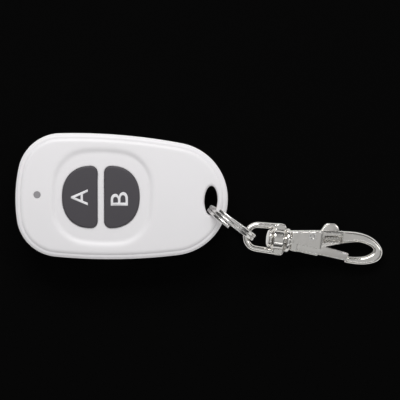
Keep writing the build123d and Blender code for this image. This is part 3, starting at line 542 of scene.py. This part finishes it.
def spring_pocket():
    """Plate across the lower end of the spring's window, square to the spring."""
    coil = np.array([vert.co for vert in nodes["gate_spring"].data.vertices]) / mm
    flat = coil - np.outer(coil @ hook_up, hook_up)
    along = np.linalg.svd(flat - flat.mean(0), full_matrices=False)[2][0]
    side = np.cross(hook_up, along)
    axes = np.array((along, side, hook_up))
    places = coil @ axes.T
    centre = (places.min(0) + places.max(0)) / 2
    mesh = bpy.data.meshes.new("spring_pocket")
    work = bmesh.new()
    bmesh.ops.create_cube(work, size=1.0)
    size = (2 * pocket_half[0], 2 * pocket_half[1], pocket_top - pocket_bottom)
    shift = (0, 0, (pocket_top + pocket_bottom) / 2)
    for vert in work.verts:
        vert.co = (np.array(vert.co) * size + centre + shift) @ axes * mm
    bmesh.ops.recalc_face_normals(work, faces=work.faces)
    work.to_mesh(mesh)
    work.free()
    finish_piece("spring_pocket", mesh, nickel_cast, "hook")


spring_pocket()


# Letters printed on the keys
letter_boxes = {"A": (4.40, 4.62), "B": (3.72, 4.68)}
letter_places = {"A": (-11.50, -0.25), "B": (-0.60, -0.30)}
letter_weight = 0.004
ink_lift = 0.015
ink_depth = 0.12


def printed_letter(letter, key, body):
    """One letter, its top towards the LED, laid on the crown of its key."""
    curve = bpy.data.curves.new("letter_curve", "FONT")
    curve.body = letter
    curve.offset = letter_weight
    curve.resolution_u = 10
    source = bpy.data.objects.new("letter_source", curve)
    bpy.context.scene.collection.objects.link(source)
    graph = bpy.context.evaluated_depsgraph_get()
    mesh = bpy.data.meshes.new_from_object(source.evaluated_get(graph))
    bpy.data.objects.remove(source)
    work = bmesh.new()
    work.from_mesh(mesh)
    long_edges = [edge for edge in work.edges if edge.calc_length() > 0.1]
    bmesh.ops.subdivide_edges(work, edges=long_edges, cuts=4)
    bmesh.ops.triangulate(work, faces=work.faces)
    points = np.array([v.co for v in work.verts])
    low, high = points.min(0), points.max(0)
    wide, tall = letter_boxes[letter]
    across = ((points[:, 0] - low[0]) / (high[0] - low[0]) - 0.5) * wide
    up = ((points[:, 1] - low[1]) / (high[1] - low[1]) - 0.5) * tall
    x, y = (turned(np.column_stack([-up, across])) + letter_places[letter]).T
    z = crown(x, y, fob_thickness - key_below_crown) + ink_lift
    for vert, place in zip(work.verts, np.column_stack([x, y, z]) * mm):
        vert.co = place
    top = list(work.faces)
    grown = bmesh.ops.extrude_face_region(work, geom=top)
    lowered = [part for part in grown["geom"] if isinstance(part, bmesh.types.BMVert)]
    bmesh.ops.translate(work, verts=lowered, vec=(0, 0, -ink_depth * mm))
    bmesh.ops.recalc_face_normals(work, faces=work.faces)
    work.to_mesh(mesh)
    work.free()
    return finish_piece(f"letter_{letter.lower()}", mesh, white_ink, body)


printed_letter("A", "key_a", "key_a")
printed_letter("B", "key_b", "key_b")


# Floor, lights and camera
view_turn = math.radians(2.0)
view_tilt = math.radians(3.0)
millimetres_per_pixel = 0.2736
frame_pixels = 400
fob_middle_pixel = (121.8, 196.9)
outline_height = 7.0
view_distance = 1.6
sensor = 36.0
right = Vector((math.cos(view_turn), math.sin(view_turn), 0))
level_up = Vector((-math.sin(view_turn), math.cos(view_turn), 0))
towards_camera = level_up * math.sin(view_tilt) + Vector((0, 0, math.cos(view_tilt)))
up = level_up * math.cos(view_tilt) - Vector((0, 0, math.sin(view_tilt)))
pixels_right = frame_pixels / 2 - fob_middle_pixel[0]
pixels_up = fob_middle_pixel[1] - frame_pixels / 2
view_centre = Vector((0, 0, outline_height)) + right * pixels_right * millimetres_per_pixel
view_centre = (view_centre + up * pixels_up * millimetres_per_pixel) * mm


def floor_sheet():
    """Floor that the camera sees black, as the photo's ground, and that lights the metal pale."""
    material, tree, place, shader = new_material("paper_floor")
    seen = add(tree, "ShaderNodeLightPath").outputs["Is Camera Ray"]
    inputs = {"Factor": seen, "A": linear("#eeeeee"), "B": linear("#080808")}
    colour = add(tree, "ShaderNodeMix", inputs, data_type="RGBA")
    tree.links.new(colour.outputs["Result"], shader.inputs["Base Color"])
    shader.inputs["Roughness"].default_value = 0.9
    shader.inputs["Specular IOR Level"].default_value = 0.0
    mesh = bpy.data.meshes.new("floor")
    reach = 3.0
    corners = [(-reach, -reach, 0), (reach, -reach, 0), (reach, reach, 0), (-reach, reach, 0)]
    mesh.from_pydata(corners, [], [(0, 1, 2, 3)])
    floor = bpy.data.objects.new("floor", mesh)
    bpy.context.scene.collection.objects.link(floor)
    mesh.materials.append(material)


def softbox(name, bearing, elevation, distance, size, power):
    """Area lamp at a bearing from the image's right, turned towards the object."""
    turn = math.radians(bearing) + view_turn
    rise = math.radians(elevation)
    towards = Vector(
        (math.cos(turn) * math.cos(rise), math.sin(turn) * math.cos(rise), math.sin(rise))
    )
    lamp = bpy.data.lights.new(name, "AREA")
    lamp.shape = "RECTANGLE"
    lamp.size, lamp.size_y = size
    lamp.energy = power
    holder = bpy.data.objects.new(name, lamp)
    bpy.context.scene.collection.objects.link(holder)
    holder.location = view_centre + towards * distance
    holder.rotation_euler = towards.to_track_quat("Z", "Y").to_euler()


floor_sheet()
softbox("key_light", 95, 42, 0.9, (0.7, 0.4), 5.4)
softbox("fill_light", -70, 40, 1.1, (0.9, 0.6), 0.3)
softbox("strip_light", -85, 46, 1.0, (1.0, 0.10), 0.6)
softbox("end_light", 10, 40, 1.0, (0.12, 0.6), 0.6)

world = bpy.data.worlds.new("studio")
bpy.context.scene.world = world
world.use_nodes = True
sky = world.node_tree
sky_direction = add(sky, "ShaderNodeTexCoord").outputs["Generated"]
sky_height = add(sky, "ShaderNodeSeparateXYZ", {"Vector": sky_direction}).outputs["Z"]
# Metal mirrors a room that is brightest overhead and falls off towards the horizon
sky_rise = add(sky, "ShaderNodeMath", {0: sky_height, 1: 3.0}, operation="POWER").outputs[0]
inputs = {"Value": sky_rise, "To Min": 0.04, "To Max": 0.54}
mirrored_sky = add(sky, "ShaderNodeMapRange", inputs).outputs["Result"]
sky_glossy = add(sky, "ShaderNodeLightPath").outputs["Is Glossy Ray"]
inputs = {"Value": sky_glossy, "To Min": 0.42, "To Max": mirrored_sky}
sky_strength = add(sky, "ShaderNodeMapRange", inputs).outputs["Result"]
sky.nodes["Background"].inputs["Color"].default_value = (1, 1, 1, 1)
sky.links.new(sky_strength, sky.nodes["Background"].inputs["Strength"])

camera_data = bpy.data.cameras.new("camera")
camera_data.sensor_width = sensor
camera_data.lens = sensor * view_distance / (millimetres_per_pixel * frame_pixels * mm)
camera = bpy.data.objects.new("camera", camera_data)
bpy.context.scene.collection.objects.link(camera)
camera.location = view_centre + towards_camera * view_distance
camera.rotation_euler = Matrix((right, up, towards_camera)).transposed().to_euler()
bpy.context.scene.camera = camera
bpy.context.scene.view_settings.view_transform = "Standard"
